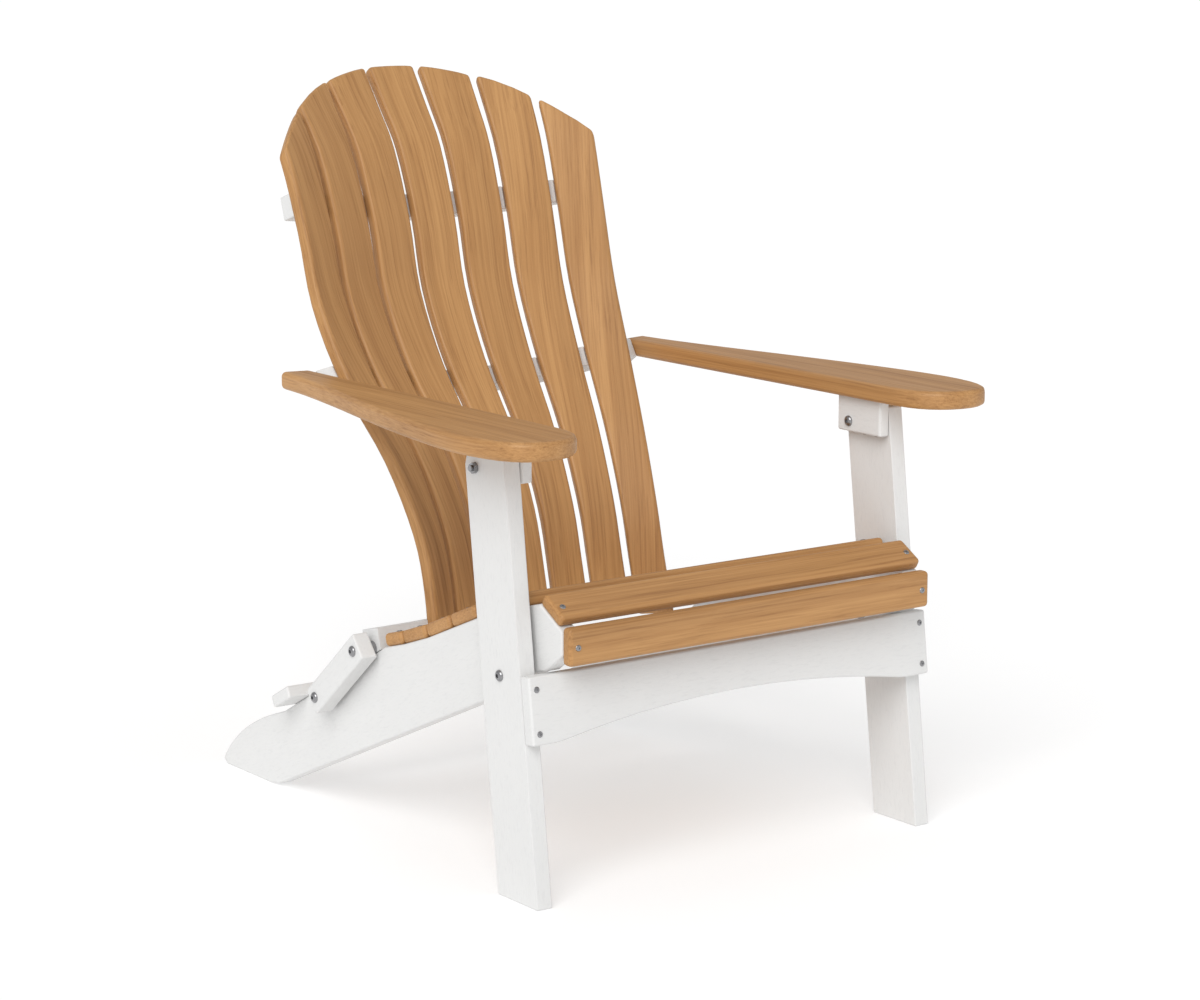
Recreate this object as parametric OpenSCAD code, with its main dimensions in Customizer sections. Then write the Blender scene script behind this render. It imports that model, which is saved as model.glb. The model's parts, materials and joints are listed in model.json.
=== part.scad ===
// Folding adirondack chair in two colours of poly lumber.
// +Z is up and the chair faces -Y, so the sitter's left hand is on the +X side.
// The origin is on the ground, below the middle of the chair.
// Side views are drawn in [y, z], with y counted back from the front leg pivot.

/* [Frame] */
// Width over the outer faces of the two front legs
frame_w = 660; // [650:1:670]
// Thickness of the legs, stringers and links
frame_t = 25; // [22:0.5:25.5]
// Width of the front leg boards
leg_w = 89; // [84:1:94]
// How far the front legs lean back
leg_lean = 7; // [6:0.25:8]
// Height of the front leg pivot above the ground
pivot_h = 291; // [289:1:293]
// Height of the apron across the front legs
apron_h = 88; // [80:1:90]
// Thickness of the apron
apron_t = 19.5; // [17:0.5:22]
// Rise of the arch under the apron
arch_rise = 26; // [10:1:40]

/* [Seat] */
// Thickness of the seat slats
seat_slat_t = 18; // [16:0.5:20]
// Gap between neighbouring seat slats
seat_gap = 4; // [2:0.5:8]
// Height of the upright slat at the front of the seat
fascia_h = 49; // [44:1:52]
// Width of the sloping slat over the front edge
nose_w = 47; // [42:1:50]

/* [Arms] */
// Height of the arms' top faces
arm_h = 611; // [608:1:614]
// Thickness of the arms
arm_t = 25; // [22:0.5:28]
// Distance from the middle of the chair to the arms' inner edges
arm_in = 272; // [268:1:276]
// Thickness of the block under each arm
block_t = 17; // [14:0.5:19]

/* [Back] */
// Thickness of the back slats
back_slat_t = 18; // [16:0.5:20]
// Gap between neighbouring back slats
back_gap = 9; // [5:0.5:14]
// Angle between neighbouring back slats, seen from above
slat_turn = 9; // [7.5:0.25:9.5]
// Height of the middle of the arched top
back_h = 1015; // [1000:1:1025]

/* [Hardware] */
// Radius of the pivot bolts
bolt_r = 4; // [3:0.25:4.5]
// Thickness of the spacers between the stringers and the boards that turn on them
spacer_t = 7; // [5:0.5:8]
// Radial clearance of a bolt in its bore
bolt_play = 0.06; // [0.03:0.01:0.1]
// Gap between boards that turn against each other
side_gap = 0.5; // [0.3:0.1:1]
// Radius of the screw heads
screw_head_r = 4.2; // [3.5:0.1:5]

/* [Hidden] */
$fn = 48;

// Colours of the two lumbers and of the hardware
teak = [0.72, 0.50, 0.29];
white = [0.93, 0.93, 0.92];
steel = [0.62, 0.63, 0.65];

// Across the chair: the legs and links share one plane and the stringers lie inside it
leg_out = frame_w / 2;
leg_in = leg_out - frame_t;
stringer_out = leg_in - side_gap - spacer_t;
stringer_in = stringer_out - frame_t;

// Front to back: the tips of the arms and the heels of the stringers
arm_tip_y = -135;
heel_y = 773;
mid_y = (arm_tip_y + heel_y) / 2;

// Pivots, in [y, z]
leg_pivot = [0, pivot_h];
arm_pivot = [51.6, 550.7];
link_top = [353.1, 254.4];
link_foot = [454.3, 169.4];
arm_rear = [539, 597];

// Front legs
foot_y = -81;
leg_top_r = 26;
function leg_front(z) = foot_y + z * tan(leg_lean);
function leg_back(z) = leg_front(z) + leg_w;

// Where the seat slats meet on the stringers' top edges, from front to back
seat_line = [[-20, 381], [40, 363.5], [100, 343], [160, 318.5], [219, 294], [277.5, 274], [323, 261.4]];
tail = seat_line[6];
// The sloping bed of the nose slat, and the stringers' upright front end
nose_low = [-90, 359.2];
nose_high = [-42, 387];
nose_angle = atan2(nose_high[1] - nose_low[1], nose_high[0] - nose_low[0]);
rest_top = [595, 115.5];

// The back's front face, as [height, y at its outer edges, half width, sag of its curve]
back_line_at = [
    [240, 330, 207, 58], [320, 347, 202.5, 58], [400, 371, 205.5, 57], [500, 421, 220, 61],
    [600, 489, 244, 71], [700, 543, 257, 71], [800, 574, 261, 66], [900, 607, 267, 71],
    [960, 634, 273, 85], [1020, 660, 276, 102], [1040, 668, 277, 107]
];
// The arch cuts the slats' tops square to their faces, so it is drawn on a plane that leans back.
// Its points are [x, drop below the middle].
arch_lean = 33;
arch_drop = [[0, 0], [40, 2], [80, 12], [120, 27], [160, 49], [200, 82], [232, 117], [262, 156], [292, 202]];

// Rails, as [height of its middle at the outer slats, tilt, thickness, width]
top_rail_at = [836, 18, 34, 28];
mid_rail_at = [606, 33, 30, 30];
lower_rail_at = [262, 13.5, 38, 42];
// How far the rails' curved fronts reach into the slats' backs, before they are notched
notch = 2.5;

arm_outer = [
    [arm_in, -45], [278, -92], [303, -124], [343, arm_tip_y], [380, -121], [402, -77], [408, 0],
    [393, 125], [368, 258], [341, 385], [322, 490], [314, 560]
];
arm_end_in = 550;

block_y = [-13.5, 74.6];
block_low = 536;

stretcher_y = [523, 567];
stretcher_t = 18;

screw_r = 2;
screw_len = 34;
head_r = 7.5;
head_h = 4;
nut_r = 7.2;
nut_h = 6;
spacer_r = 10;

// One point of a smooth curve between p1 and p2
function blend_point(p0, p1, p2, p3, t) =
    0.5 * (2 * p1 + (p2 - p0) * t + (2 * p0 - 5 * p1 + 4 * p2 - p3) * t * t
    + (3 * p1 - p0 - 3 * p2 + p3) * t * t * t);

// A smooth curve through all the points, with n steps from each to the next
function smooth(pts, n) = let (last = len(pts) - 1) [
    for (i = [0:last - 1], k = [0:n - 1])
        blend_point(pts[max(i - 1, 0)], pts[i], pts[i + 1], pts[min(i + 2, last)], k / n),
    pts[last]
];

function reversed(pts) = [for (i = [len(pts) - 1:-1:0]) pts[i]];
function along(a, b, t) = a + (b - a) * t;
function slope_angle(a, b) = atan2(b[1] - a[1], b[0] - a[0]);

// A line moved sideways by d, towards the back where the line climbs
function beside(line, d) = [
    for (i = [0:len(line) - 1])
        let (run = line[min(i + 1, len(line) - 1)] - line[max(i - 1, 0)])
            line[i] + [run[1], -run[0]] / norm(run) * d
];

// Moves the chair from the front leg pivot to its origin
module stand() {
    translate([0, -mid_y, 0]) children();
}

module on_side(side) {
    mirror([side > 0 ? 0 : 1, 0, 0]) children();
}

module both_sides() {
    for (side = [1, -1]) on_side(side) children();
}

// Extrudes a side view, drawn in [y, z], from x to x + t
module board(x, t) {
    translate([x, 0, 0]) rotate([90, 0, 90]) linear_extrude(t) children();
}

// A bore across the chair, through everything from x to x + t
module bore(at, x, t) {
    translate([x - 1, at[0], at[1]]) rotate([0, 90, 0]) cylinder(r = bolt_r + bolt_play, h = t + 2);
}

// A button head bolt with its head on the +X side of x and its shank going in from there
module button_bolt(at, x, shank) {
    translate([x, at[0], at[1]]) rotate([0, 90, 0]) difference() {
        union() {
            rotate_extrude() polygon([
                [0, 0], [head_r, 0], [head_r - 0.3, head_h * 0.4], [head_r - 1.9, head_h * 0.8],
                [head_r - 4, head_h], [0, head_h]
            ]);
            translate([0, 0, -shank]) cylinder(r = bolt_r, h = shank + 0.5);
        }
        translate([0, 0, head_h - 2.4]) cylinder(r = 2.9, h = 3, $fn = 6);
    }
}

// A hexagon nut between x and x + nut_h, on a bolt of the given radius
module nut(at, x) {
    translate([x, at[0], at[1]]) rotate([0, 90, 0]) difference() {
        cylinder(r = nut_r, h = nut_h, $fn = 6);
        translate([0, 0, -1]) cylinder(r = bolt_r + 0.02, h = nut_h + 2);
    }
}

// A round spacer on a pivot bolt, between a stringer's plane and the legs' plane
module spacer(at) {
    translate([stringer_out, at[0], at[1]]) rotate([0, 90, 0]) difference() {
        cylinder(r = spacer_r, h = spacer_t);
        translate([0, 0, -1]) cylinder(r = bolt_r + 0.02, h = spacer_t + 2);
    }
}

// A pan head screw at the origin, driven down -Z, with a square recess
module screw(len) {
    difference() {
        union() {
            rotate_extrude() polygon([
                [0, 0], [screw_head_r, 0], [screw_head_r - 0.6, 1], [screw_head_r - 1.8, 1.5], [0, 1.5]
            ]);
            translate([0, 0, -len]) cylinder(r = screw_r, h = len + 0.5);
        }
        translate([0, 0, 0.4]) cylinder(r = 1.8, h = 2, $fn = 4);
    }
}

// ---- Seat frame ----

heel_curve = smooth([rest_top, [657, 93], [708, 67], [747, 38], [768, 16], [heel_y, 7.5], [763, 0]], 4);

module stringer(side) {
    color(white) stand() on_side(side) difference() {
        board(stringer_in, frame_t) polygon(concat(
            [[nose_low[0], 328], nose_low, nose_high], seat_line, heel_curve,
            [[636, 0], [613, 4], [181, 192.5], [85, 235], [-39, 296], [-39, 302], [-53, 302]]
        ));
        bore(leg_pivot, stringer_in, frame_t);
        bore(link_foot, stringer_in, frame_t);
    }
}

// A seat board on the line from a to b, inset by a gap at each end
module seat_board(a, b, inset, t) {
    slope = slope_angle(a, b);
    length = norm(b - a) - 2 * inset;
    translate([-stringer_out, a[0], a[1]]) rotate([slope, 0, 0])
        translate([0, inset, 0]) cube([2 * stringer_out, length, t]);
}

module seat_slat(n) {
    color(teak) stand() seat_board(seat_line[n - 1], seat_line[n], seat_gap / 2, seat_slat_t);
}

module tail_slat() {
    color(teak) stand() seat_board(seat_line[5], tail, seat_gap / 2, seat_slat_t);
}

module nose_slat() {
    along_bed = [cos(nose_angle), sin(nose_angle)];
    color(teak) stand()
        seat_board(nose_high - along_bed * nose_w, nose_high, 0, seat_slat_t - 1);
}

module fascia_slat() {
    color(teak) stand()
        translate([-stringer_out, nose_low[0] - seat_slat_t, 317])
            cube([2 * stringer_out, seat_slat_t, fascia_h]);
}

module rear_stretcher() {
    slope = slope_angle(tail, rest_top);
    front_z = tail[1] + (stretcher_y[0] - tail[0]) * tan(slope);
    width = (stretcher_y[1] - stretcher_y[0]) / cos(slope);
    color(white) stand()
        translate([-leg_out, stretcher_y[0], front_z]) rotate([slope, 0, 0])
            cube([frame_w, width, stretcher_t]);
}

screw_x = stringer_out - frame_t / 2;

// A screw standing on a board of thickness t, at the middle of the line from a to b
module screw_on(a, b, t) {
    middle = along(a, b, 0.5);
    both_sides() translate([screw_x, middle[0], middle[1]])
        rotate([slope_angle(a, b), 0, 0]) translate([0, 0, t]) screw(screw_len);
}

module seat_screws() {
    color(steel) stand() {
        for (n = [0:5]) screw_on(seat_line[n], seat_line[n + 1], seat_slat_t);
        screw_on(nose_low, nose_high, seat_slat_t - 1);
        both_sides() translate([screw_x, nose_low[0] - seat_slat_t, 341]) rotate([90, 0, 0]) screw(screw_len);
    }
}

module stretcher_screws() {
    color(steel) stand() for (t = [0.7, 0.98])
        screw_on(along(tail, rest_top, 0.735 * t), along(tail, rest_top, 0.735 * (t + 0.36)), stretcher_t);
}

module leg_pivot_bolts() {
    color(steel) stand() both_sides()
        button_bolt(leg_pivot, leg_out + 0.3, 2 * frame_t + side_gap + spacer_t + nut_h + 1.5);
}

module leg_pivot_nuts() {
    color(steel) stand() both_sides() nut(leg_pivot, stringer_in - nut_h);
}

module leg_pivot_spacers() {
    color(steel) stand() both_sides() spacer(leg_pivot);
}

module link_lower_bolts() {
    color(steel) stand() both_sides()
        button_bolt(link_foot, leg_out + 0.3, 2 * frame_t + side_gap + spacer_t + nut_h + 1.5);
}

module link_lower_nuts() {
    color(steel) stand() both_sides() nut(link_foot, stringer_in - nut_h);
}

module link_lower_spacers() {
    color(steel) stand() both_sides() spacer(link_foot);
}

// ---- Front legs ----

leg_round = [for (a = [0:15:90]) arm_pivot + leg_top_r * [cos(a - leg_lean), sin(a - leg_lean)]];
leg_top_z = arm_pivot[1] + leg_top_r;

module front_leg(side) {
    color(white) stand() on_side(side) difference() {
        board(leg_in, frame_t) polygon(concat(
            [[leg_front(0), 0], [leg_back(0), 0], [leg_back(arm_pivot[1]), arm_pivot[1]]],
            leg_round, [[leg_front(leg_top_z), leg_top_z]]
        ));
        bore(leg_pivot, leg_in, frame_t);
        bore(arm_pivot, leg_in, frame_t);
    }
}

// The apron lies on the legs' front faces, so it is drawn upright and leaned back with them
apron_top = 299;
arch_in = 44;

module front_apron() {
    half = leg_out - arch_in;
    arch = [for (k = [1:15]) let (u = cos(180 * k / 16)) [half * u, arch_rise * (1 - u * u)]];
    color(white) stand() translate([0, leg_front(0), 0]) rotate([-leg_lean, 0, 0])
        translate([0, 0, (apron_top - apron_h) / cos(leg_lean)]) rotate([90, 0, 0])
            linear_extrude(apron_t) polygon(concat(
                [[-leg_out, apron_h], [-leg_out, 0], [-half - 8, 0]], reversed(arch),
                [[half + 8, 0], [leg_out, 0], [leg_out, apron_h]]
            ));
}

module apron_screws() {
    color(steel) stand() both_sides() for (z = [228, 284])
        translate([leg_out - 11, leg_front(z) - apron_t / cos(leg_lean), z])
            rotate([90 - leg_lean, 0, 0]) screw(screw_len);
}

module arm_pivot_bolts() {
    grip = block_t + side_gap + frame_t + nut_h + 3;
    color(steel) stand() both_sides()
        translate([2 * (leg_in - side_gap - block_t - 0.3), 0, 0]) mirror([1, 0, 0])
            button_bolt(arm_pivot, leg_in - side_gap - block_t - 0.3, grip + 0.3);
}

module arm_pivot_nuts() {
    color(steel) stand() both_sides() nut(arm_pivot, leg_out);
}

// ---- Arms ----

module arm(side) {
    color(teak) stand() on_side(side)
        translate([0, 0, arm_h - arm_t]) linear_extrude(arm_t)
            polygon(concat(smooth(arm_outer, 5), [[arm_in, arm_end_in]]));
}

module arm_block(side) {
    color(white) stand() on_side(side) difference() {
        translate([leg_in - side_gap - block_t, block_y[0], block_low])
            cube([block_t, block_y[1] - block_y[0], arm_h - arm_t - block_low]);
        bore(arm_pivot, leg_in - side_gap - block_t, block_t);
    }
}

module block_screws(side) {
    color(steel) stand() on_side(side) for (y = [2, 26])
        translate([leg_in - side_gap - block_t / 2, y, block_low]) rotate([180, 0, 0]) screw(64);
}

// ---- Back ----

back_line = smooth(back_line_at, 4);

// The front face's curve at one height: its radius, and the angle of its half width
function curve_r(p) = (p[2] * p[2] + p[3] * p[3]) / (2 * p[3]);
function curve_angle(p) = asin(p[2] / curve_r(p));

// Middle of slat n's front face, in [x, y]
function slat_middle(p, n) = let (a = (n - 4) / 3.5 * curve_angle(p))
    [curve_r(p) * sin(a), p[1] + p[3] - curve_r(p) * (1 - cos(a))];

// One slat before its top is cut to the arch. Its own axes are turned with the fan:
// x lies across the slat and y is square to it.
module slat_blank(n) {
    turn = (n - 4) * slat_turn;
    middle = [for (p = back_line) slat_middle(p, n)];
    front = [for (i = [0:len(back_line) - 1])
        [middle[i][0] * sin(turn) + middle[i][1] * cos(turn), back_line[i][0]]];
    across = [for (m = middle) m[0] * cos(turn) - m[1] * sin(turn)];
    half = [for (p = back_line) curve_r(p) * tan(curve_angle(p) / 7) - back_gap / 2];
    last = len(back_line) - 1;
    rotate([0, 0, -turn]) intersection() {
        board(-150, 300) polygon(concat(front, reversed(beside(front, back_slat_t))));
        translate([0, 900, 0]) rotate([90, 0, 0]) linear_extrude(700) polygon(concat(
            [[across[0] - half[0], 200]],
            [for (i = [0:last]) [across[i] - half[i], back_line[i][0]]],
            [for (i = [last:-1:0]) [across[i] + half[i], back_line[i][0]]],
            [[across[0] + half[0], 200]]
        ));
    }
}

module dome() {
    top = back_h * cos(arch_lean) + slat_middle(edge_at(back_h), 4)[1] * sin(arch_lean);
    side = [for (p = smooth(arch_drop, 3)) [p[0], top - p[1]]];
    end_x = arch_drop[len(arch_drop) - 1][0];
    rotate([-arch_lean, 0, 0]) translate([0, 500, 0]) rotate([90, 0, 0]) linear_extrude(900)
        polygon(concat(
            [[-end_x, 0], [end_x, 0]], reversed(side),
            [for (p = side) if (p[0] > 0) [-p[0], p[1]]]
        ));
}

module back_slat(n) {
    color(teak) stand() intersection() {
        slat_blank(n);
        dome();
    }
}

// The front face's values at height z
function edge_at(z) = [z, for (k = [1:3]) lookup(z, [for (p = back_line) [p[0], p[k]]])];

// A curved rail behind the slats, tilted square to them, that ends in two ears.
// ear is [half length, front, back], counted from the slats' back faces.
module rail_board(at, ear) {
    edge = edge_at(at[0]);
    sag = edge[3] * cos(at[1]);
    reach = edge[2];
    r = (reach * reach + sag * sag) / (2 * sag);
    swing = asin(reach / r);
    curve = [for (k = [-8:8]) let (a = swing * k / 8) [r * sin(a), sag - r * (1 - cos(a)) - notch]];
    translate([0, edge[1] + back_slat_t / cos(at[1]), at[0]]) rotate([-at[1], 0, 0])
        translate([0, 0, -at[2] / 2]) linear_extrude(at[2]) polygon(concat(
            [[-ear[0], ear[1]]], curve, [[ear[0], ear[1]], [ear[0], ear[2]]],
            [for (p = reversed(curve)) p + [0, at[3] + notch]],
            [[-ear[0], ear[2]]]
        ));
}

module notched_rail(at, ear) {
    difference() {
        rail_board(at, ear);
        for (n = [1:7]) slat_blank(n);
    }
}

module top_rail() {
    color(white) stand() notched_rail(top_rail_at, [264, 5, 31]);
}

module mid_rail() {
    color(white) stand() difference() {
        notched_rail(mid_rail_at, [arm_in - side_gap, 12, 40]);
        both_sides() bore(arm_rear, arm_in - 26, 30);
    }
}

// The lower rail's ears rest on the stringers' sloping top edges
module lower_rail() {
    color(white) stand() difference() {
        notched_rail(lower_rail_at, [stringer_out, -17, 23]);
        both_sides() board(stringer_in - 2, frame_t + 4)
            polygon([tail + [0, side_gap], rest_top + [0, side_gap], [tail[0], rest_top[1]]]);
        both_sides() bore(link_top, stringer_out - 46, 50);
    }
}

// A screw through a rail into the middle of each back slat
module rail_screws(at) {
    edge = edge_at(at[0]);
    color(steel) stand() for (n = [1:7]) {
        middle = slat_middle(edge, n);
        depth = (middle[1] - edge[1]) * cos(at[1]);
        translate([0, edge[1] + back_slat_t / cos(at[1]), at[0]]) rotate([-at[1], 0, 0])
            translate([middle[0], depth + at[3], 0]) rotate([-90, 0, 0]) screw(at[3] + 12);
    }
}

module top_rail_screws() {
    rail_screws(top_rail_at);
}

module mid_rail_screws() {
    rail_screws(mid_rail_at);
}

module lower_rail_screws() {
    rail_screws(lower_rail_at);
}

module link_upper_bolts() {
    color(steel) stand() both_sides() button_bolt(link_top, leg_out + 0.3, frame_t + side_gap + spacer_t + 40);
}

module link_upper_spacers() {
    color(steel) stand() both_sides() spacer(link_top);
}

// Pins from the mid rail's ends. They stop at the arms' inner edges.
module arm_rear_pins() {
    color(steel) stand() both_sides()
        translate([arm_in - 25, arm_rear[0], arm_rear[1]]) rotate([0, 90, 0]) cylinder(r = bolt_r, h = 24.5);
}

// ---- Rear links ----

link_w = 39;
link_over = 14.5;

module back_link(side) {
    length = norm(link_foot - link_top);
    color(white) stand() on_side(side) difference() {
        translate([leg_in, link_top[0], link_top[1]]) rotate([slope_angle(link_top, link_foot), 0, 0])
            translate([0, -link_over, -link_w / 2]) cube([frame_t, length + 2 * link_over, link_w]);
        bore(link_top, leg_in, frame_t);
        bore(link_foot, leg_in, frame_t);
    }
}

stringer(1);  // stringer_left
stringer(-1);  // stringer_right
fascia_slat();
nose_slat();
seat_slat(1);  // seat_slat_1
seat_slat(2);  // seat_slat_2
seat_slat(3);  // seat_slat_3
seat_slat(4);  // seat_slat_4
seat_slat(5);  // seat_slat_5
tail_slat();
rear_stretcher();
seat_screws();
stretcher_screws();
leg_pivot_bolts();
leg_pivot_nuts();
leg_pivot_spacers();
link_lower_bolts();
link_lower_nuts();
link_lower_spacers();
front_leg(1);  // front_leg_left
front_leg(-1);  // front_leg_right
front_apron();
apron_screws();
arm_pivot_bolts();
arm_pivot_nuts();
arm(1);  // arm_left
arm(-1);  // arm_right
arm_block(1);  // arm_block_left
arm_block(-1);  // arm_block_right
block_screws(1);  // block_screws_left
block_screws(-1);  // block_screws_right
back_slat(1);  // back_slat_1
back_slat(2);  // back_slat_2
back_slat(3);  // back_slat_3
back_slat(4);  // back_slat_4
back_slat(5);  // back_slat_5
back_slat(6);  // back_slat_6
back_slat(7);  // back_slat_7
top_rail();
mid_rail();
lower_rail();
top_rail_screws();
mid_rail_screws();
lower_rail_screws();
link_upper_bolts();
link_upper_spacers();
arm_rear_pins();
back_link(1);  // back_link_left
back_link(-1);  // back_link_right
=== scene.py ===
import bisect
import itertools
import json
import math

import bmesh
import bpy
from bpy.props import FloatProperty, FloatVectorProperty, PointerProperty
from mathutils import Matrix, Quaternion, Vector

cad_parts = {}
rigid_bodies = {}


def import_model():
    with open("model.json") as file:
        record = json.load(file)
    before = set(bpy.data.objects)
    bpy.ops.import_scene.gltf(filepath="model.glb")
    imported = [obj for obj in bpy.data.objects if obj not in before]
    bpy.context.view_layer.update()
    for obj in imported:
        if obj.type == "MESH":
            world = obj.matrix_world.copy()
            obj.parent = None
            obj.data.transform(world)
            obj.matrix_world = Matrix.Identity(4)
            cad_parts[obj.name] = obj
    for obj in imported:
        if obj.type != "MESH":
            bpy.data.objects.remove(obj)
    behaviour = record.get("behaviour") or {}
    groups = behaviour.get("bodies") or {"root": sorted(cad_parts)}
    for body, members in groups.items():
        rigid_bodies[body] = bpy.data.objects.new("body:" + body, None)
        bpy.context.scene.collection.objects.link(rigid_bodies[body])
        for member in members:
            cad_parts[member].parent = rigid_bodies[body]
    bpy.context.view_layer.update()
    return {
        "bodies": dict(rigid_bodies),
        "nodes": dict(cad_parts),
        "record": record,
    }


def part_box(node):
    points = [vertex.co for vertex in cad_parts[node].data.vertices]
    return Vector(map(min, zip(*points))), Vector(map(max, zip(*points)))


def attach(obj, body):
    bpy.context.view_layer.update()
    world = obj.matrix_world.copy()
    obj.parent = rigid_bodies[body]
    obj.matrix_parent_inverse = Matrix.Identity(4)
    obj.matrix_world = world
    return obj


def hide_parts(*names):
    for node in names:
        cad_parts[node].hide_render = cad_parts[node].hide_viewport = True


bl_info = {
    "name": "Folding adirondack chair",
    "version": (1, 0, 0),
    "blender": (4, 5, 0),
    "location": "View3D > Sidebar > Chair",
    "description": "Builds the boards, hardware and finishes of a folding garden chair",
    "category": "Object",
}

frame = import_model()

SEAT_SLATS = ["fascia_slat", "nose_slat", "tail_slat"] + [f"seat_slat_{n}" for n in range(1, 6)]
BACK_SLATS = [f"back_slat_{n}" for n in range(1, 8)]
PIVOTS = ["leg_pivot_bolts", "link_lower_bolts", "link_upper_bolts", "arm_pivot_bolts", "arm_rear_pins"]

# The directions that the white side boards run in
LEG_RUN = (0, 0.122, 0.993)
STRINGER_RUN = (0, 0.925, -0.380)
LINK_RUN = (0, 0.766, -0.643)
CROSS_RUN = (1, 0, 0)
ARM_RUN = (0, 1, 0)

SLAT_TURN = math.radians(9)  # between one back slat and the next
BORE_REACH = 0.0046  # farthest that a bore's rim is from its pivot
SHARP_EDGE = math.radians(28)  # from here on an edge is rounded
CREASE = math.radians(36)  # from here on an edge is shaded sharp
FOLD = math.radians(100)  # from here on an edge is a fault of the rounding
STRAY = 2e-4  # how far a rounding may stand out of its board's box
FLAT = 0.4  # degrees that faces may be apart and still count as one


# ---- Boards ----


def body_name(node):
    """The body that a CAD node rides on."""
    parent = frame["nodes"][node].parent
    return next(name for name, empty in frame["bodies"].items() if empty == parent)


def merged_copy(node, flat):
    """A bmesh of a CAD node with its triangles joined into faces that are flat to so many degrees."""
    bm = bmesh.new()
    bm.from_mesh(frame["nodes"][node].data)
    bmesh.ops.remove_doubles(bm, verts=bm.verts, dist=2e-5)
    bmesh.ops.dissolve_limit(bm, angle_limit=math.radians(flat), verts=bm.verts, edges=bm.edges)
    return bm


def pivot_axes():
    """The (y, z) places of all the pivots that boards are bored for."""
    boxes = [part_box(node) for node in PIVOTS]
    return [((low + high) / 2).yz for low, high in boxes]


def is_sharp(edge):
    """True for an edge that a rounding takes off."""
    return len(edge.link_faces) == 2 and edge.calc_face_angle(0) > SHARP_EDGE


def on_bore(vertex, axes):
    """True for a vertex of a pivot's bore."""
    return any((vertex.co.yz - axis).length < BORE_REACH for axis in axes)


def outer_edges(bm):
    """The sharp edges of a board, without the rims of its bores."""
    axes = pivot_axes()
    return [e for e in bm.edges if is_sharp(e) and not all(on_bore(v, axes) for v in e.verts)]


def finish_piece(name, bm, node, material):
    """Makes the bmesh a shaded piece that stands for a CAD node."""
    mesh = bpy.data.meshes.new(name)
    for face in bm.faces:
        face.smooth = True
    for edge in bm.edges:
        edge.smooth = len(edge.link_faces) == 2 and edge.calc_face_angle(0) < CREASE
    bm.to_mesh(mesh)
    bm.free()
    mesh.materials.append(bpy.data.materials[material])
    piece = bpy.data.objects.new(name, mesh)
    bpy.context.scene.collection.objects.link(piece)
    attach(piece, body_name(node))
    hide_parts(node)
    return piece


def lay_grain(mesh, place, number):
    """Stores each vertex's place in its own board, in metres: across, through and along it."""
    store = mesh.attributes.new("grain", "FLOAT_VECTOR", "POINT")
    shift = Vector((1.37 * number, 0.53 * number, 2.91 * number))
    values = []
    for vertex in mesh.vertices:
        values.extend(Vector(place(vertex.co)) + shift)
    store.data.foreach_set("vector", values)


def straight_grain(node, run):
    """Board coordinates for a straight board whose length runs along run."""
    along = Vector(run).normalized()
    spots = [v.co for v in frame["nodes"][node].data.vertices]

    def thickness(direction):
        heights = [co.dot(direction) for co in spots]
        return max(heights) - min(heights)

    start = along.orthogonal().normalized()
    turned = [Quaternion(along, math.radians(2 * step)) @ start for step in range(90)]
    through = min(turned, key=thickness)
    across = along.cross(through)
    return lambda co: (co.dot(across), co.dot(through), co.dot(along))


def bent_grain(mesh, turn):
    """Board coordinates for a back slat, whose length follows its curved front face."""
    out = Vector((math.sin(turn), math.cos(turn), 0))
    side = Vector((math.cos(turn), -math.sin(turn), 0))
    front = {}
    for vertex in mesh.vertices:
        level = round(vertex.co.z, 3)
        depth = vertex.co.dot(out)
        if depth < front.get(level, 9):
            front[level] = depth
    levels = sorted(front)
    # A level of the cut top that lies well behind its neighbours is not on the front face
    kept = [
        z
        for before, z, after in zip(levels, levels[1:], levels[2:])
        if front[z] <= (front[before] + front[after]) / 2 + 0.004
    ]
    levels = [levels[0], *kept, levels[-1]]
    lengths = [0.0]
    for low, high in zip(levels, levels[1:]):
        lengths.append(lengths[-1] + math.hypot(high - low, front[high] - front[low]))

    def place(co):
        i = min(max(bisect.bisect_right(levels, co.z) - 1, 0), len(levels) - 2)
        low, high = levels[i], levels[i + 1]
        t = (co.z - low) / (high - low)
        face = front[low] + (front[high] - front[low]) * t
        lean = (front[high] - front[low]) / (high - low)
        depth = (co.dot(out) - face) / math.sqrt(1 + lean * lean)
        return (co.dot(side), depth, lengths[i] + (lengths[i + 1] - lengths[i]) * t)

    return place


def clear_short(bm, reach):
    """Joins the ends of sharp edges too short for a rounding to fit beside."""
    axes = pivot_axes()
    fixed = {v for v in bm.verts if on_bore(v, axes)}
    while True:
        short = [e for e in bm.edges if is_sharp(e) and e.calc_length() < reach]
        short = [e for e in short if not fixed & set(e.verts)]
        for edge in sorted(short, key=lambda e: e.calc_length()):
            ends = list(edge.verts)
            corners = [v for v in ends if sum(map(is_sharp, v.link_edges)) > 2]
            if len(corners) == 2 and edge.calc_length() > reach * 0.6:
                continue
            kept = corners if len(corners) == 1 else ends
            middle = sum((v.co for v in kept), Vector()) / len(kept)
            bmesh.ops.pointmerge(bm, verts=ends, merge_co=middle)
            break
        else:
            break
    bmesh.ops.dissolve_degenerate(bm, dist=1e-5, edges=bm.edges)


def rounding_faults(bm, low, high):
    """How many folds and strays a rounding has left."""
    folds = sum(len(e.link_faces) != 2 or e.calc_face_angle(0) > FOLD for e in bm.edges)
    strays = sum(
        any(co < least - STRAY or co > most + STRAY for co, least, most in zip(v.co, low, high))
        for v in bm.verts
    )
    return folds + strays


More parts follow.
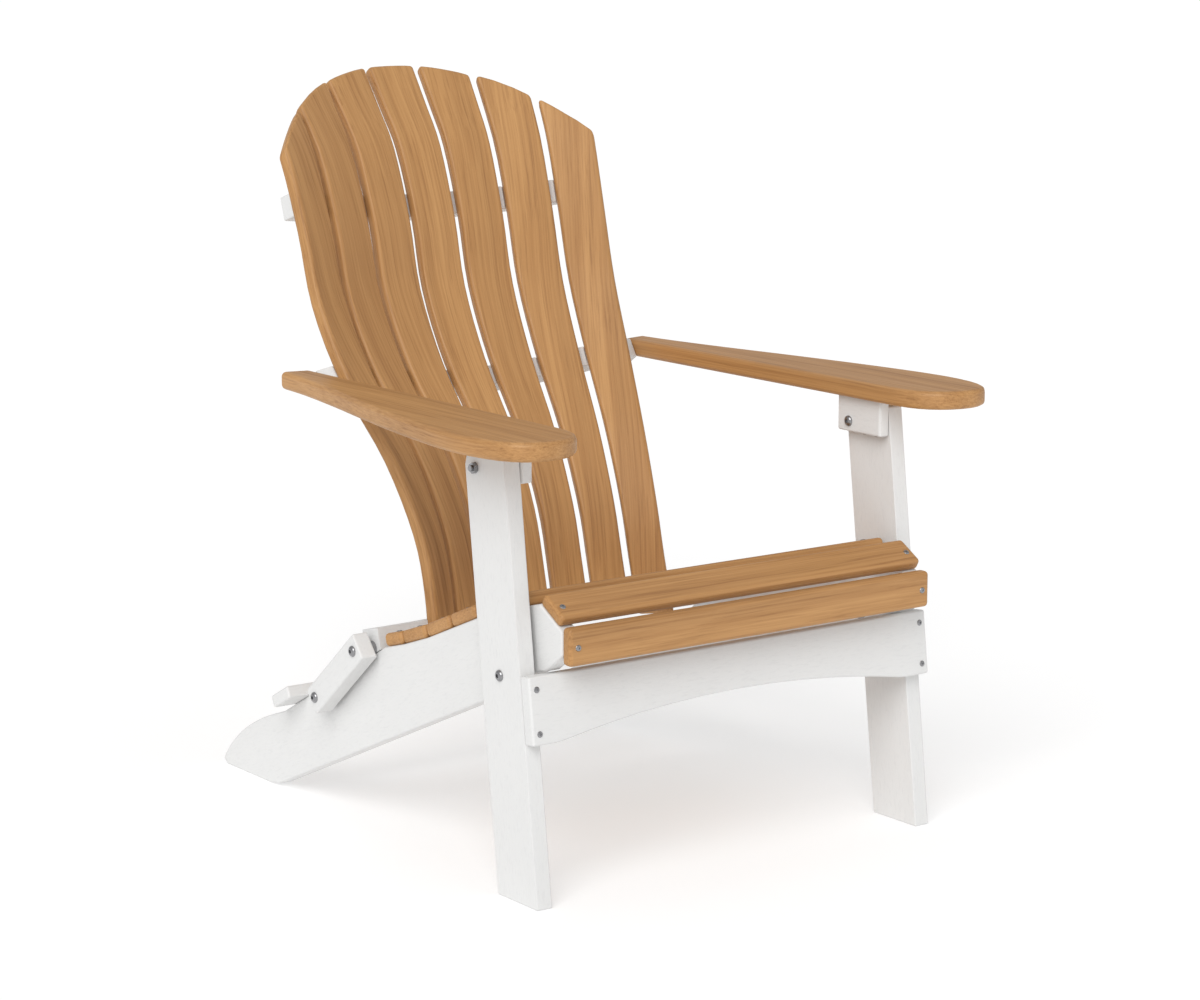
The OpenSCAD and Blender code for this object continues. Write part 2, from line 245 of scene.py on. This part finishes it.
def rounded_copy(node, radius, segments):
    """A bmesh of a CAD board with its edges rounded, by as much of radius as fits cleanly.

    A board stays square where every try leaves ten faults or more.
    """
    low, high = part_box(node)
    best, fewest = merged_copy(node, FLAT), 10
    for part, flat, reach in itertools.product((1.0, 0.8), (FLAT, 2.0), (2.2, 3.4, 4.0, 1.2)):
        bm = merged_copy(node, flat)
        clear_short(bm, radius * part * reach)
        bmesh.ops.bevel(
            bm,
            geom=outer_edges(bm),
            offset=radius * part,
            offset_type="OFFSET",
            segments=segments,
            profile=0.5,
            affect="EDGES",
            clamp_overlap=False,
            loop_slide=True,
            material=-1,
        )
        faults = rounding_faults(bm, low, high)
        spare = bm
        if faults < fewest:
            best, fewest, spare = bm, faults, best
        spare.free()
        if not fewest:
            break
    return best


def rounded_board(node, radius, material, place, number, segments=4):
    """Copies a CAD board, rounds its long edges and lays the grain along it."""
    bm = rounded_copy(node, radius, segments)
    bmesh.ops.triangulate(bm, faces=[f for f in bm.faces if len(f.verts) > 4], ngon_method="BEAUTY")
    piece = finish_piece(f"{node}_board", bm, node, material)
    lay_grain(piece.data, place, number)
    even = piece.modifiers.new("even_faces", "WEIGHTED_NORMAL")
    even.weight = 100
    even.keep_sharp = True
    return piece


# ---- Finishes ----


def material_nodes(name):
    """A new material, its node tree's maker, its linker and its main shader."""
    material = bpy.data.materials.new(name)
    material.use_nodes = True
    tree = material.node_tree
    shader = tree.nodes["Principled BSDF"]

    def add(kind, **values):
        node = tree.nodes.new(kind)
        for key, value in values.items():
            setattr(node, key, value)
        return node

    return add, tree.links.new, shader


def board_noise(add, link, source, scale, detail, roughness, distortion=0.0):
    """Noise in board coordinates, with its own scale across, through and along the board."""
    mapping = add("ShaderNodeMapping")
    mapping.inputs["Scale"].default_value = scale
    noise = add("ShaderNodeTexNoise", noise_dimensions="3D")
    noise.inputs["Scale"].default_value = 1.0
    noise.inputs["Detail"].default_value = detail
    noise.inputs["Roughness"].default_value = roughness
    noise.inputs["Distortion"].default_value = distortion
    link(source, mapping.inputs["Vector"])
    link(mapping.outputs["Vector"], noise.inputs["Vector"])
    return noise.outputs["Fac"]


def ramp(add, link, source, stops):
    """A colour ramp with stops of (position, colour)."""
    node = add("ShaderNodeValToRGB")
    node.color_ramp.elements[0].position = stops[0][0]
    node.color_ramp.elements[0].color = (*stops[0][1], 1)
    node.color_ramp.elements[1].position = stops[-1][0]
    node.color_ramp.elements[1].color = (*stops[-1][1], 1)
    for position, colour in stops[1:-1]:
        element = node.color_ramp.elements.new(position)
        element.color = (*colour, 1)
    link(source, node.inputs["Fac"])
    return node.outputs["Color"]


def mix_colour(add, link, blend, factor, first, second):
    """Mixes two colours; factor is a number or an output."""
    node = add("ShaderNodeMix", data_type="RGBA", blend_type=blend)
    if isinstance(factor, float):
        node.inputs[0].default_value = factor
    else:
        link(factor, node.inputs[0])
    link(first, node.inputs[6])
    link(second, node.inputs[7])
    return node.outputs[2]


def math_node(add, link, operation, first, second):
    """One arithmetic step; second is a number or an output."""
    node = add("ShaderNodeMath", operation=operation)
    link(first, node.inputs[0])
    if isinstance(second, float):
        node.inputs[1].default_value = second
    else:
        link(second, node.inputs[1])
    return node.outputs[0]


def shade(colour, factor):
    """A lighter or darker colour."""
    return tuple(c * factor for c in colour)


def teak_finish(props):
    """Brown lumber with long straight streaks, fine pores and a satin face."""
    add, link, shader = material_nodes("teak_grain")
    grain = add("ShaderNodeAttribute", attribute_type="GEOMETRY", attribute_name="grain").outputs["Vector"]

    # The streaks wander a little from side to side along the board
    wander = add("ShaderNodeMapping")
    wander.inputs["Scale"].default_value = (7, 7, 2.2)
    drift = add("ShaderNodeTexNoise", noise_dimensions="3D")
    drift.inputs["Scale"].default_value = 1.0
    drift.inputs["Detail"].default_value = 2.0
    link(grain, wander.inputs["Vector"])
    link(wander.outputs["Vector"], drift.inputs["Vector"])
    centred = add("ShaderNodeVectorMath", operation="SUBTRACT")
    centred.inputs[1].default_value = (0.5, 0.5, 0.5)
    link(drift.outputs["Color"], centred.inputs[0])
    small = add("ShaderNodeVectorMath", operation="SCALE")
    small.inputs["Scale"].default_value = 0.010
    link(centred.outputs["Vector"], small.inputs[0])
    moved = add("ShaderNodeVectorMath", operation="ADD")
    link(grain, moved.inputs[0])
    link(small.outputs["Vector"], moved.inputs[1])
    lines = moved.outputs["Vector"]

    light, mid, dark = tuple(props.teak_light), tuple(props.teak_mid), tuple(props.teak_dark)
    fineness = props.grain_fineness
    broad = board_noise(add, link, lines, (30 * fineness, 30 * fineness, 0.8), 3.0, 0.5, 0.3)
    streak = board_noise(add, link, lines, (190 * fineness, 420 * fineness, 2.0), 5.0, 0.66, 0.2)
    fine = board_noise(add, link, lines, (480 * fineness, 800 * fineness, 8.0), 3.0, 0.6)
    tone = board_noise(add, link, grain, (0.9, 0.9, 0.35), 1.0, 0.5)

    stops = [(0.30, shade(mid, 0.86)), (0.47, mid), (0.62, light), (0.75, shade(light, 1.05))]
    base = ramp(add, link, broad, stops)
    stops = [(0.30, dark), (0.43, shade(mid, 0.98)), (0.58, light), (0.74, shade(light, 1.06))]
    lined = ramp(add, link, streak, stops)
    colour = mix_colour(add, link, "MIX", 0.52, base, lined)
    pores = ramp(add, link, fine, [(0.30, (0.66, 0.60, 0.54)), (0.46, (1, 1, 1)), (0.70, (1.0, 1.0, 1.0))])
    colour = mix_colour(add, link, "MULTIPLY", 0.55, colour, pores)
    boards = ramp(add, link, tone, [(0.30, (0.90, 0.885, 0.87)), (0.70, (1.0, 1.0, 1.0))])
    colour = mix_colour(add, link, "MULTIPLY", 1.0, colour, boards)
    link(colour, shader.inputs["Base Color"])

    gloss = ramp(add, link, streak, [(0.25, (0.56, 0.56, 0.56)), (0.75, (0.42, 0.42, 0.42))])
    link(gloss, shader.inputs["Roughness"])
    shader.inputs["Specular IOR Level"].default_value = 0.42

    relief = math_node(add, link, "MULTIPLY", fine, 0.45)
    relief = math_node(add, link, "ADD", relief, streak)
    bump = add("ShaderNodeBump")
    bump.inputs["Strength"].default_value = 0.32
    bump.inputs["Distance"].default_value = 0.0009
    link(relief, bump.inputs["Height"])
    link(bump.outputs["Normal"], shader.inputs["Normal"])


def white_finish(props):
    """White lumber with a faint embossed grain."""
    add, link, shader = material_nodes("white_grain")
    grain = add("ShaderNodeAttribute", attribute_type="GEOMETRY", attribute_name="grain").outputs["Vector"]
    cloud = board_noise(add, link, grain, (16, 16, 7), 4.0, 0.6)
    emboss = board_noise(add, link, grain, (330, 330, 75), 4.0, 0.62, 0.4)
    speck = board_noise(add, link, grain, (900, 900, 300), 2.0, 0.6)
    white = tuple(props.white_colour)
    colour = ramp(add, link, cloud, [(0.25, shade(white, 0.965)), (0.75, white)])
    dust = ramp(add, link, emboss, [(0.28, (0.93, 0.93, 0.935)), (0.48, (1, 1, 1))])
    colour = mix_colour(add, link, "MULTIPLY", 0.8, colour, dust)
    link(colour, shader.inputs["Base Color"])
    gloss = ramp(add, link, emboss, [(0.3, (0.60, 0.60, 0.60)), (0.7, (0.46, 0.46, 0.46))])
    link(gloss, shader.inputs["Roughness"])
    shader.inputs["Specular IOR Level"].default_value = 0.4
    relief = math_node(add, link, "MULTIPLY", speck, 0.35)
    relief = math_node(add, link, "ADD", relief, emboss)
    bump = add("ShaderNodeBump")
    bump.inputs["Strength"].default_value = 0.35
    bump.inputs["Distance"].default_value = 0.0007
    link(relief, bump.inputs["Height"])
    link(bump.outputs["Normal"], shader.inputs["Normal"])


def steel_finish(props):
    """Plain stainless steel with faint turning marks and handling blotches; its colour is set darker than
    bare steel as painted shade standing in for the screws' dark countersunk recesses.
    """
    add, link, shader = material_nodes("bright_steel")
    place = add("ShaderNodeTexCoord").outputs["Object"]
    marks = board_noise(add, link, place, (2600, 420, 420), 3.0, 0.6)
    blotch = board_noise(add, link, place, (60, 60, 60), 2.0, 0.5)
    # Painted shade: the steel colour is darker than bare stainless so the flush screw heads read like dark
    # countersunk recesses
    steel = tuple(props.steel_painted_shade_colour)
    colour = ramp(add, link, blotch, [(0.3, shade(steel, 0.86)), (0.7, steel)])
    link(colour, shader.inputs["Base Color"])
    gloss = ramp(add, link, marks, [(0.3, (0.24, 0.24, 0.24)), (0.7, (0.40, 0.40, 0.40))])
    link(gloss, shader.inputs["Roughness"])
    shader.inputs["Metallic"].default_value = 1.0
    bump = add("ShaderNodeBump")
    bump.inputs["Strength"].default_value = 0.15
    bump.inputs["Distance"].default_value = 0.0001
    link(marks, bump.inputs["Height"])
    link(bump.outputs["Normal"], shader.inputs["Normal"])


# ---- Sizes and colours ----


class ChairSettings(bpy.types.PropertyGroup):
    """Roundings and finishes of the chair."""

    slat_edge: FloatProperty(
        name="Slat edge rounding",
        description="Radius of the slats' rounded edges",
        default=0.0055,
        unit="LENGTH",
    )
    arm_edge: FloatProperty(
        name="Arm edge rounding",
        description="Radius of the arms' rounded edges",
        default=0.0070,
        unit="LENGTH",
    )
    frame_edge: FloatProperty(
        name="Frame edge rounding",
        description="Radius of the white boards' edges",
        default=0.0032,
        unit="LENGTH",
    )
    grain_fineness: FloatProperty(
        name="Grain fineness",
        description="Scale of the streaks across the brown boards",
        default=1.0,
        min=0.2,
    )
    teak_light: FloatVectorProperty(
        name="Light streaks",
        description="Colour of the brown boards' light streaks",
        default=(0.555, 0.300, 0.113),
        subtype="COLOR",
    )
    teak_mid: FloatVectorProperty(
        name="Brown",
        description="Main colour of the brown boards",
        default=(0.440, 0.222, 0.077),
        subtype="COLOR",
    )
    teak_dark: FloatVectorProperty(
        name="Dark streaks",
        description="Colour of the brown boards' dark streaks",
        default=(0.235, 0.102, 0.033),
        subtype="COLOR",
    )
    white_colour: FloatVectorProperty(
        name="White",
        description="Colour of the white boards",
        default=(0.735, 0.735, 0.728),
        subtype="COLOR",
    )
    # Darker than bare stainless steel: painted shade standing in for the dark countersunk recesses around
    # the screw heads
    steel_painted_shade_colour: FloatVectorProperty(
        name="Steel",
        description="Colour of the hardware",
        default=(0.34, 0.34, 0.35),
        subtype="COLOR",
    )
    light_strength: FloatProperty(
        name="Light strength",
        description="Multiplies all the studio lights",
        default=1.0,
        min=0.0,
    )


# ---- Operators ----


class CHAIR_OT_finishes(bpy.types.Operator):
    """Make the brown lumber, white lumber and stainless steel"""

    bl_idname = "chair.finishes"
    bl_label = "Finishes"

    def execute(self, context):
        props = context.scene.chair
        teak_finish(props)
        white_finish(props)
        steel_finish(props)
        return {"FINISHED"}


class CHAIR_OT_seat(bpy.types.Operator):
    """Make the rounded slats of the seat"""

    bl_idname = "chair.seat"
    bl_label = "Seat slats"

    def execute(self, context):
        radius = context.scene.chair.slat_edge
        for number, node in enumerate(SEAT_SLATS):
            place = straight_grain(node, CROSS_RUN)
            rounded_board(node, radius, "teak_grain", place, number + 1)
        return {"FINISHED"}


class CHAIR_OT_back(bpy.types.Operator):
    """Make the curved slats of the back"""

    bl_idname = "chair.back"
    bl_label = "Back slats"

    def execute(self, context):
        radius = context.scene.chair.slat_edge
        for number, node in enumerate(BACK_SLATS):
            place = bent_grain(frame["nodes"][node].data, SLAT_TURN * (number - 3))
            rounded_board(node, radius, "teak_grain", place, number + 11)
        return {"FINISHED"}


class CHAIR_OT_arms(bpy.types.Operator):
    """Make the two arms and the blocks under them"""

    bl_idname = "chair.arms"
    bl_label = "Arms"

    def execute(self, context):
        props = context.scene.chair
        for number, side in enumerate(("left", "right")):
            arm, block = f"arm_{side}", f"arm_block_{side}"
            along = straight_grain(arm, ARM_RUN)
            rounded_board(arm, props.arm_edge, "teak_grain", along, number + 21, 5)
            along = straight_grain(block, ARM_RUN)
            rounded_board(block, props.frame_edge, "white_grain", along, number + 31, 3)
        return {"FINISHED"}


class CHAIR_OT_frame(bpy.types.Operator):
    """Make the white legs, stringers, apron, links, stretcher and rails"""

    bl_idname = "chair.frame"
    bl_label = "White frame"

    def execute(self, context):
        radius = context.scene.chair.frame_edge
        runs = {
            "front_leg_left": LEG_RUN,
            "front_leg_right": LEG_RUN,
            "stringer_left": STRINGER_RUN,
            "stringer_right": STRINGER_RUN,
            "back_link_left": LINK_RUN,
            "back_link_right": LINK_RUN,
            "front_apron": CROSS_RUN,
            "rear_stretcher": CROSS_RUN,
        }
        for number, (node, run) in enumerate(runs.items()):
            place = straight_grain(node, run)
            rounded_board(node, radius, "white_grain", place, number + 41, 3)
        for number, node in enumerate(("top_rail", "mid_rail", "lower_rail")):
            along = straight_grain(node, CROSS_RUN)
            rounded_board(node, radius * 0.7, "white_grain", along, number + 51, 3)
        return {"FINISHED"}


class CHAIR_OT_hardware(bpy.types.Operator):
    """Make the screws, bolts, nuts, spacers and pins"""

    bl_idname = "chair.hardware"
    bl_label = "Hardware"

    def execute(self, context):
        slots = {s["node"]: s["material_slot"] for s in frame["record"]["subparts"]}
        for node in (n for n, slot in slots.items() if slot == "stainless"):
            bm = merged_copy(node, FLAT)
            finish_piece(f"{node}_steel", bm, node, "bright_steel")
        return {"FINISHED"}


class CHAIR_OT_stage(bpy.types.Operator):
    """Set up the floor, the studio light and the camera"""

    bl_idname = "chair.stage"
    bl_label = "Stage"

    def execute(self, context):
        scene = context.scene
        power = scene.chair.light_strength

        bm = bmesh.new()
        bmesh.ops.create_grid(bm, x_segments=1, y_segments=1, size=60)
        mesh = bpy.data.meshes.new("floor")
        bm.to_mesh(mesh)
        bm.free()
        floor = bpy.data.objects.new("floor", mesh)
        scene.collection.objects.link(floor)
        add, link, shader = material_nodes("pale_floor")
        place = add("ShaderNodeTexCoord").outputs["Object"]
        soft = board_noise(add, link, place, (0.7, 0.7, 0.7), 2.0, 0.5)
        pale = ramp(add, link, soft, [(0.3, (0.59, 0.59, 0.59)), (0.7, (0.61, 0.61, 0.61))])
        link(pale, shader.inputs["Base Color"])
        shader.inputs["Roughness"].default_value = 0.9
        shader.inputs["Specular IOR Level"].default_value = 0.1
        shader.inputs["Emission Color"].default_value = (1, 1, 1, 1)
        shader.inputs["Emission Strength"].default_value = 0.46
        floor.data.materials.append(bpy.data.materials["pale_floor"])

        world = bpy.data.worlds.new("studio")
        world.use_nodes = True
        world.node_tree.nodes["Background"].inputs["Color"].default_value = (1, 1, 1, 1)
        world.node_tree.nodes["Background"].inputs["Strength"].default_value = 0.56 * power
        scene.world = world

        soft_box = bpy.data.lights.new("fill", "AREA")
        soft_box.shape = "RECTANGLE"
        soft_box.size, soft_box.size_y = 2.4, 2.4
        soft_box.energy = 6 * power
        fill = bpy.data.objects.new("fill", soft_box)
        fill.location = (2.8, -3.4, 1.6)
        fill.rotation_mode = "QUATERNION"
        fill.rotation_quaternion = (Vector((0, 0, 0.5)) - fill.location).to_track_quat("-Z", "Y")
        scene.collection.objects.link(fill)

        sun = bpy.data.lights.new("key", "SUN")
        sun.energy = 1.9 * power
        sun.angle = math.radians(42)
        key = bpy.data.objects.new("key", sun)
        key.rotation_mode = "QUATERNION"
        key.rotation_quaternion = Vector((0.60, 0.48, -0.62)).to_track_quat("-Z", "Y")
        scene.collection.objects.link(key)

        lens = bpy.data.cameras.new("camera")
        lens.sensor_width = 36
        lens.lens = 96.8
        lens.clip_end = 200
        camera = bpy.data.objects.new("camera", lens)
        camera.location = (-2.5668, -3.5989, 1.2711)
        camera.rotation_mode = "QUATERNION"
        camera.rotation_quaternion = Vector((0.57916, 0.79355, -0.18669)).to_track_quat("-Z", "Y")
        scene.collection.objects.link(camera)
        scene.camera = camera
        scene.view_settings.view_transform = "Standard"
        return {"FINISHED"}


class CHAIR_PT_panel(bpy.types.Panel):
    """Lists the chair's settings and its makers"""

    bl_idname = "CHAIR_PT_panel"
    bl_label = "Folding chair"
    bl_space_type = "VIEW_3D"
    bl_region_type = "UI"
    bl_category = "Chair"

    def draw(self, context):
        for name in ChairSettings.__annotations__:
            self.layout.prop(context.scene.chair, name)
        for operator in OPERATORS:
            self.layout.operator(operator.bl_idname)


OPERATORS = (
    CHAIR_OT_finishes,
    CHAIR_OT_seat,
    CHAIR_OT_back,
    CHAIR_OT_arms,
    CHAIR_OT_frame,
    CHAIR_OT_hardware,
    CHAIR_OT_stage,
)
CLASSES = (ChairSettings, *OPERATORS, CHAIR_PT_panel)


def register():
    for cls in CLASSES:
        bpy.utils.register_class(cls)
    bpy.types.Scene.chair = PointerProperty(type=ChairSettings)


def unregister():
    del bpy.types.Scene.chair
    for cls in reversed(CLASSES):
        bpy.utils.unregister_class(cls)


def main():
    register()
    bpy.ops.chair.finishes()
    bpy.ops.chair.seat()
    bpy.ops.chair.back()
    bpy.ops.chair.arms()
    bpy.ops.chair.frame()
    bpy.ops.chair.hardware()
    bpy.ops.chair.stage()


if __name__ == "__main__":
    main()
